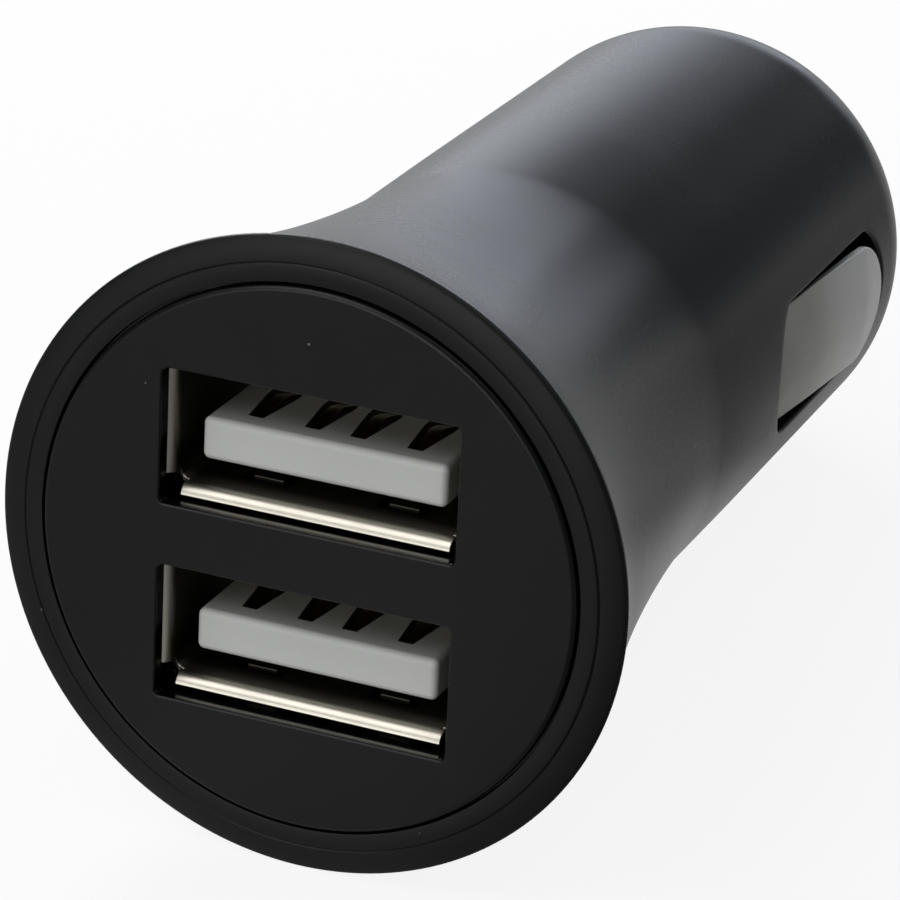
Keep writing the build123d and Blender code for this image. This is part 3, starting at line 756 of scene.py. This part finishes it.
def add_spring():
    """Wound wire: one closed turn at each end and open turns between them."""
    low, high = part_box("tip_spring")
    wire, coil, turns, closed_pitch = 0.5 * MM, 2.75 * MM, 7.0, 1.03
    steps, wire_steps, sharp_turn = 420, 12, 50
    s = Shape("wound_spring", Wire=wire, Coil=coil, Turns=turns, Start=low.y + wire / 2,
              Length=high.y - low.y - wire)
    turn = s.index / (steps - 1) * s.given["Turns"]
    tight = closed_pitch * s.given["Wire"]
    slack = (s.given["Length"] - tight * s.given["Turns"]) / (s.given["Turns"] - 2)
    rise = tight * turn + slack * (turn - 1).most(0).least(s.given["Turns"] - 2)
    angle = turn * (2 * pi)
    path = s.place(s.line(steps), s.given["Coil"] * angle.cosine(), s.given["Start"] + rise,
                   s.given["Coil"] * angle.sine())
    section = s.add("GeometryNodeCurvePrimitiveCircle", {},
                    {"Resolution": wire_steps, "Radius": s.given["Wire"] / 2})[0]
    piece = s.make(s.smooth(s.sweep(path, section), sharp_turn), finishes["spring_wire"])
    mend(piece)
    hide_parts("tip_spring")
    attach(piece, "charger")
    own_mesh(piece)


def add_contacts(node):
    """Four sprung strips side by side, each bowed up out of its slot in the tongue."""
    low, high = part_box(node)
    wide, thick, rise, reach, corner = 0.55 * MM, 0.2 * MM, 0.37 * MM, 1.95 * MM, 0.04 * MM
    places, crest = (-3.5, -1.0, 1.0, 3.5), low.y + reach
    steps, corner_steps, sharp_turn = 120, 2, 35
    s = Shape(node + "_strips", Wide=wide, Thick=thick, Rise=rise, Start=low.y, End=high.y,
              Level=high.z - rise - thick / 2, Crest=crest, Reach=reach)
    y = s.given["Start"] + (s.given["End"] - s.given["Start"]) * s.index / (steps - 1)
    near = ((y - s.given["Crest"]) / s.given["Reach"]).most(-1).least(1)
    bow = s.given["Rise"] * (1 + (near * pi).cosine()) / 2
    path = s.place(s.line(steps), 0.0, y, s.given["Level"] + bow)
    path = s.add("GeometryNodeSetCurveNormal", {"mode": "Z_UP"}, {"Curve": path})[0]
    section = s.add("GeometryNodeCurvePrimitiveQuadrilateral", {},
                    {"Width": s.given["Wide"], "Height": s.given["Thick"]})[0]
    section = s.add("GeometryNodeFilletCurve", {"mode": "POLY"},
                    {"Curve": section, "Radius": corner, "Count": corner_steps})[0]
    strip = s.smooth(s.sweep(path, section), sharp_turn)
    rack = s.add("GeometryNodeInstanceOnPoints", {}, {"Points": s.given["Geometry"], "Instance": strip})[0]
    piece = s.make(rack, finishes["contact_gold"], [(x * MM, 0, 0) for x in places])
    mend(piece)
    stand_for(piece, "charger", node)


def add_softened(name, body, node, width):
    """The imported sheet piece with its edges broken, as tumbling and plating leave them."""
    flat_within, sharp_turn, steps = 0.5, 35, 3
    mesh = frame["nodes"][node].data.copy()
    b = opened(mesh)
    bmesh.ops.dissolve_limit(b, angle_limit=radians(flat_within), verts=b.verts, edges=b.edges)
    for face in b.faces:
        face.smooth = True
    closed(b, mesh)
    for layer in ("custom_normal", "sharp_edge", "sharp_face"):
        if layer in mesh.attributes:
            mesh.attributes.remove(mesh.attributes[layer])
    piece = show(name, mesh)
    edge = piece.modifiers.new("broken edge", "BEVEL")
    edge.width, edge.segments, edge.limit_method = width * MM, steps, "ANGLE"
    edge.angle_limit, edge.harden_normals, edge.use_clamp_overlap = radians(sharp_turn), True, False
    edge.miter_outer = "MITER_ARC"
    settle(piece)
    stand_for(piece, body, node)


def floor_finish():
    """Pale floor: white to the camera with a soft shadow, and in reflections the dim bench of the photograph.

    There it is grey, in shade on the charger's right, and lighter close beside the body and under its flare.
    """
    shadow_share = 0.12
    glow, glow_in_shade, glow_beside, glow_under = 0.13, 0.05, 0.17, 0.22
    shade_lean, shade_starts, shade_full, shade_fades, shade_ends = 0.25, 8.5, 13, 130, 190
    beside_full, beside_ends = 10, 15
    under_starts, under_full, under_fades, under_ends = -16, -4, 10, 24
    under_side_full, under_side_ends = 14, 22
    f = Finish("pale floor", Roughness=0.9, Specular_IOR_Level=0.1)
    seen = f.add("ShaderNodeLightPath")
    mirrored = seen["Is Glossy Ray"].most(seen["Is Transmission Ray"])
    aside = f.across.unsigned()
    shade = f.ease(f.across - shade_lean * f.along, shade_starts * MM, shade_full * MM)
    shade = shade * f.ease(f.along, shade_ends * MM, shade_fades * MM)
    beside = f.ease(aside, beside_ends * MM, beside_full * MM)
    under = f.ease(f.along, under_ends * MM, under_fades * MM)
    under = under * f.ease(f.along, under_starts * MM, under_full * MM)
    under = under * f.ease(aside, under_side_ends * MM, under_side_full * MM)
    glowing = glow - (glow - glow_in_shade) * shade + glow_beside * beside + glow_under * under
    share = ((1 - shadow_share) * seen["Is Camera Ray"]).most(mirrored * glowing)
    bench = f.blend(shade, grey(0.36), grey(0.18))
    f.feed("Base Color", f.blend(seen["Is Camera Ray"], bench, grey(0.95)))
    white = f.add("ShaderNodeEmission", {}, {"Color": grey(1), "Strength": 1.0})["Emission"]
    both = f.add("ShaderNodeMixShader", {}, {0: share, 1: Wire(f, f.shader.outputs[0]), 2: white})[0]
    f.tree.links.new(both.socket, f.output.inputs["Surface"])
    return f.material


def add_floor():
    """Wide sheet that the rim and the end of the barrel rest on, so it slopes a little along the charger."""
    slope, reach = 0.0751, 1.5
    corners = [(x, y, -RIM * MM + slope * (y - RIM_Y * MM)) for x, y in
               ((-reach, -reach), (reach, -reach), (reach, reach), (-reach, reach))]
    mesh = bpy.data.meshes.new("floor")
    mesh.from_pydata(corners, [], [(0, 1, 2, 3)])
    mesh.materials.append(floor_finish())
    floor = show("floor", mesh)


def add_world():
    """White to the camera, and otherwise a dim, slightly cool room."""
    world = bpy.data.worlds.new("studio")
    scene.world = world
    world.use_nodes = True
    b = Bench(world.node_tree)
    b.tree.nodes.clear()
    seen = b.add("ShaderNodeLightPath")["Is Camera Ray"]
    room = b.add("ShaderNodeBackground", {}, {"Color": rgb(0.93, 0.98, 1.06), "Strength": 0.11})[0]
    white = b.add("ShaderNodeBackground", {}, {"Color": grey(1), "Strength": 1.0})[0]
    both = b.add("ShaderNodeMixShader", {}, {0: seen, 1: room, 2: white})[0]
    b.add("ShaderNodeOutputWorld", {}, {"Surface": both})


def add_lamp(name, toward, distance, width, height, level, colour=(1, 1, 1), target=(0, 0, 0)):
    """Soft box that faces the charger, or a target near it. Level is the brightness of its panel."""
    aim = Vector(toward).normalized()
    data = bpy.data.lights.new(name, "AREA")
    data.shape, data.size, data.size_y = "RECTANGLE", width, height
    data.energy, data.color = 4 * width * height * level, colour
    lamp = bpy.data.objects.new(name, data)
    turn = aim.to_track_quat("Z", "Y").to_matrix().to_4x4()
    lamp.matrix_world = Matrix.Translation(Vector(target) + aim * distance) @ turn
    lamp.visible_camera = False
    scene.collection.objects.link(lamp)


def add_camera():
    """Camera where the photograph was taken from."""
    data = bpy.data.cameras.new("camera")
    data.lens, data.sensor_width, data.clip_start = 175.79, 36.0, 0.01
    place = Vector((64.88, -168.11, 71.64)) * MM
    right, down, ahead = (Vector(v) for v in (
        (0.92003, 0.38882, 0.04851), (0.18986, -0.33407, -0.92323), (-0.34277, 0.85861, -0.38118)))
    camera = bpy.data.objects.new("camera", data)
    camera.matrix_world = Matrix.Translation(place) @ Matrix((right, -down, -ahead)).transposed().to_4x4()
    scene.collection.objects.link(camera)
    scene.camera = camera


add_housing()
add_plate()
add_tip()
add_spring()
for port in ("upper", "lower"):
    add_contacts(port + "_usb_contacts")
    add_softened(port + "_shell_sheet", "charger", port + "_usb_shell", 0.05)
for hand in ("right", "left"):
    add_softened(hand + "_leaf_sheet", hand + "_contact", hand + "_ground_contact", 0.08)
add_floor()
add_world()
COOL = (0.92, 0.98, 1.10)
add_lamp("rear panel", (-0.46, 0.863, 0.21), 0.60, 0.56, 0.22, 0.80, COOL)
add_lamp("rear side panel", (0.05, 0.97, 0.16), 0.62, 0.16, 0.12, 0.58, COOL)
add_lamp("key box", (-0.34, -0.52, 0.78), 0.60, 0.40, 0.40, 1.6)
add_lamp("front fill", (-0.20, -0.95, 0.10), 0.70, 0.55, 0.40, 1.6)
add_lamp("top box", (0.45, 0.15, 0.88), 0.50, 0.35, 0.35, 0.75)
add_lamp("floor wash", (-0.50, 0.28, 0.80), 0.38, 0.30, 0.30, 6.0, target=(-0.12, 0.22, 0.0))
add_camera()
